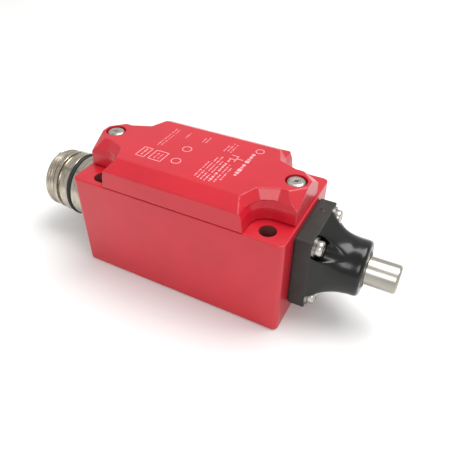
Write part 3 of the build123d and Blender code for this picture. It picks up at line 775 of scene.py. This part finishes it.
def makePlunger():
    tip, radius, soft = plungerPin["tip"], plungerPin["radius"], plungerPin["rounding"]
    ringLow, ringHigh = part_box("retaining_ring")
    inner, chamfer, groove = plungerPin["inner"], plungerPin["chamfer"], plungerPin["groove"]
    profile = [(inner, plungerPin["centre"]), (inner, radius - chamfer), (inner + chamfer, radius)]
    profile += [(ringLow.x / mm, radius), (ringLow.x / mm, groove), (ringHigh.x / mm, groove)]
    profile += [(ringHigh.x / mm, radius), (tip - soft, radius)]
    profile += [
        (tip - soft + soft * sin(radians(a)), radius - soft + soft * cos(radians(a))) for a in (25, 45, 65, 90)
    ]
    profile += [(tip, plungerPin["centre"])]
    piece = lathe("plungerPin", plungerPin["height"], profile)
    closeEnds(piece)
    tidyMesh(piece, 30)
    place(piece, "plunger", "ground_steel", finishes["ground_steel"], "plunger")


# guide bush: only a thin rim of it stands out of the nose
bushRim = {"bore": 4.85, "body": 5.95, "rim": 6.3, "proud": 0.3, "sealGap": 0.02, "chamfer": 0.12}


def makeBush():
    low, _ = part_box("guide_bush")
    wiperLow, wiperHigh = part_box("wiper_seal")
    nose = headHigh.x / mm
    seat = (wiperHigh.z - wiperLow.z) / 2 / mm + bushRim["sealGap"]
    rim, proud, chamfer = bushRim["rim"], bushRim["proud"], bushRim["chamfer"]
    end = nose + proud
    profile = [
        (low.x / mm, bushRim["bore"]), (low.x / mm, bushRim["body"]), (nose - proud, bushRim["body"]),
        (nose - proud, rim), (end - chamfer, rim), (end, rim - chamfer), (end, seat),
        (wiperLow.x / mm, seat), (wiperLow.x / mm, bushRim["bore"]),
    ]
    piece = lathe("guideRim", plungerPin["height"], profile)
    bridgeEnds(piece)
    tidyMesh(piece, 30)
    place(piece, "case", "plated_bush", finishes["plated_bush"], "guide_bush")


makePlunger()
makeBush()
print("plunger and bush turned")


# springs: the return spring is copied whole, and the contact springs are cut into three pieces carried by the
# plunger; those marked to shorten get a mesh of their own
coils = {
    "returnKeep": 0.62,
    # name, where it starts and stops along the row, the end it stands on, what is left of it at full stroke
    "contacts": (
        ("closingSpringRear", -11.6, -6.5, -7.0, 0.26),
        ("closingSpringFront", -2.9, 2.2, 1.7, 0.26),
        ("openingSprings", 2.5, 16.7, 0.0, 1.0),
    ),
}


def makeSprings():
    piece = copyNode("return_spring", "returnSpring")
    bpy.ops.object.shade_smooth_by_angle(angle=radians(50))
    place(piece, "case", "spring_steel", finishes["spring_steel"], "return_spring")
    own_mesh(piece)
    made = []
    for name, start, stop, stand, keep in coils["contacts"]:
        piece = copyNode("contact_springs", name)
        made.append(piece)
        selectFaces(piece, lambda face: not start * mm < face.center.x < stop * mm)
        bpy.ops.mesh.delete(type="VERT")
        bpy.ops.object.mode_set(mode="OBJECT")
        bpy.ops.object.shade_smooth_by_angle(angle=radians(50))
        place(piece, "plunger", "spring_steel", finishes["spring_steel"])
        if keep < 1:
            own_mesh(piece)
    for piece in made:
        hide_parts("contact_springs")


makeSprings()
print("springs set")


# connector shell: a turned sleeve with three turns of thread at its end
connector = {
    "height": 18.0, "end": -65.4, "thread": 11.5, "root": 10.75, "pitch": 1.25, "threadStop": -60.9,
    "turns": 3, "threadStart": 0.75, "overlap": 0.1, "ridgeWidth": 0.9,
    # place and radius round the sleeve: groove, collar, seal groove, barrel, then back along the bore
    "sleeve": (
        (-60.9, 10.8), (-60.35, 10.8), (-60.2, 11.6), (-60.05, 11.75), (-59.05, 11.75), (-58.9, 11.6),
        (-58.75, 10.8), (-57.1, 10.8), (-57.0, 11.8), (-56.8, 12.0), (-53.7, 12.0), (-53.5, 11.8),
        (-53.5, 10.5), (-51.5, 10.5), (-51.5, 11.8), (-51.3, 12.0), (-40.1, 12.0), (-39.8, 11.7),
        (-39.8, 9.4), (-31.0, 9.4), (-31.0, 8.0), (-40.4, 8.0), (-40.4, 9.6),
    ),
}


def makeConnector():
    height, end = connector["height"], connector["end"]
    root, stop = connector["root"], connector["threadStop"]
    profile = [(end, 9.7), (end, 10.45), (end + 0.35, root), (stop, root)]
    profile += [*connector["sleeve"], (end + 0.15, 9.6)]
    piece = lathe("connectorShell", height, profile, 128)
    bridgeEnds(piece)
    tidyMesh(piece, 30)
    # one thread ridge is wound along the shell and its ends are capped
    clearSelection()
    pitch, foot = connector["pitch"], root + connector["overlap"]
    start = (end + connector["threadStart"]) * mm
    bpy.ops.mesh.primitive_circle_add(
        vertices=4, radius=pitch / 2 * mm, location=(start, 0, (height + foot) * mm), rotation=(pi / 2, 0, 0)
    )
    ridge = bpy.context.object
    ridge.name = "connectorThread"
    bpy.ops.object.transform_apply(location=True, rotation=True, scale=True)
    bpy.ops.object.mode_set(mode="EDIT")
    bpy.ops.mesh.select_all(action="SELECT")
    tall = (connector["thread"] - foot) / (pitch / 2)
    bpy.ops.transform.resize(
        value=(connector["ridgeWidth"], 1, tall), center_override=(start, 0, (height + foot) * mm)
    )
    bpy.ops.object.mode_set(mode="OBJECT")
    bpy.context.scene.cursor.location = (0, 0, height * mm)
    bpy.ops.object.origin_set(type="ORIGIN_CURSOR")
    wind = ridge.modifiers.new("wind", "SCREW")
    wind.axis = "X"
    wind.angle = 2 * pi
    wind.screw_offset = pitch * mm
    wind.iterations = connector["turns"]
    wind.steps = wind.render_steps = 96
    wind.use_merge_vertices = False
    applyModifiers(ridge)
    closeEnds(ridge)
    tidyMesh(ridge, 40)
    piece = joinAll([piece, ridge], "connectorShell")
    place(piece, "case", "nickel_shell", finishes["nickel_shell"], "connector_shell")


makeConnector()
print("connector turned")


# floor, light and camera
studio = {
    "floor": "#F2F2F1", "floorSize": 6.0, "floorHeight": -0.0002, "world": 0.66,
    # name, power in watts, size and place in metres
    "softboxes": (
        ("keySoftbox", 5.3, 0.5, (0.2, 0.22, 0.76)),
        ("glintSoftbox", 1.5, 0.3, (0.19, -0.61, 0.47)),
    ),
    # a dark strip hung up front that draws a line along polished metal
    "flagPlace": (-0.24, -0.36, 0.54), "flagSize": (1.0, 0.05),
    "target": (0, 0, 0.02),  # the lamps and the strip face this point
}


def makeStudio():
    clearSelection()
    bpy.ops.mesh.primitive_plane_add(size=studio["floorSize"], location=(0, 0, studio["floorHeight"]))
    floor = bpy.context.object
    floor.name = "studioFloor"
    material, _ = newMaterial("paleCard", Roughness=0.9, Base_Color=colour(studio["floor"]))
    floor.data.materials.append(material)
    world = bpy.data.worlds.new("studioWorld")
    world.use_nodes = True
    world.node_tree.nodes["Background"].inputs["Color"].default_value = (1, 1, 1, 1)
    world.node_tree.nodes["Background"].inputs["Strength"].default_value = studio["world"]
    bpy.context.scene.world = world
    clearSelection()
    target = Vector(studio["target"])
    toward = target - Vector(studio["flagPlace"])
    bpy.ops.mesh.primitive_plane_add(
        size=1, location=studio["flagPlace"], rotation=toward.to_track_quat("Z", "Y").to_euler()
    )
    flag = bpy.context.object
    flag.name = "darkFlag"
    flag.scale = (*studio["flagSize"], 1)
    flagMaterial, _ = newMaterial("blackCloth", Roughness=1.0, Base_Color=colour("#101010"))
    flag.data.materials.append(flagMaterial)
    for name, power, size, spot in studio["softboxes"]:
        bpy.ops.object.light_add(type="AREA", location=spot)
        lamp = bpy.context.object
        lamp.name = name
        lamp.data.energy = power
        lamp.data.size = size
        lamp.rotation_euler = (target - Vector(spot)).to_track_quat("-Z", "Y").to_euler()


# place in millimetres, turn and lift in degrees
view = {"place": (71.35, -116.68, 126.53), "azimuth": 27.9, "elevation": 38.9, "lens": 38.2}


def makeCamera():
    bpy.ops.object.camera_add(location=[v * mm for v in view["place"]])
    camera = bpy.context.object
    turn, lift = radians(view["azimuth"]), radians(view["elevation"])
    back = Vector((sin(turn) * cos(lift), -cos(turn) * cos(lift), sin(lift)))
    camera.rotation_euler = (-back).to_track_quat("-Z", "Y").to_euler()
    camera.data.lens = view["lens"]
    camera.data.sensor_width = 36
    camera.data.clip_start = 0.01
    bpy.context.scene.camera = camera
    bpy.context.scene.view_settings.view_transform = "Standard"


clearSelection()
makeStudio()
makeCamera()
print("studio lit")
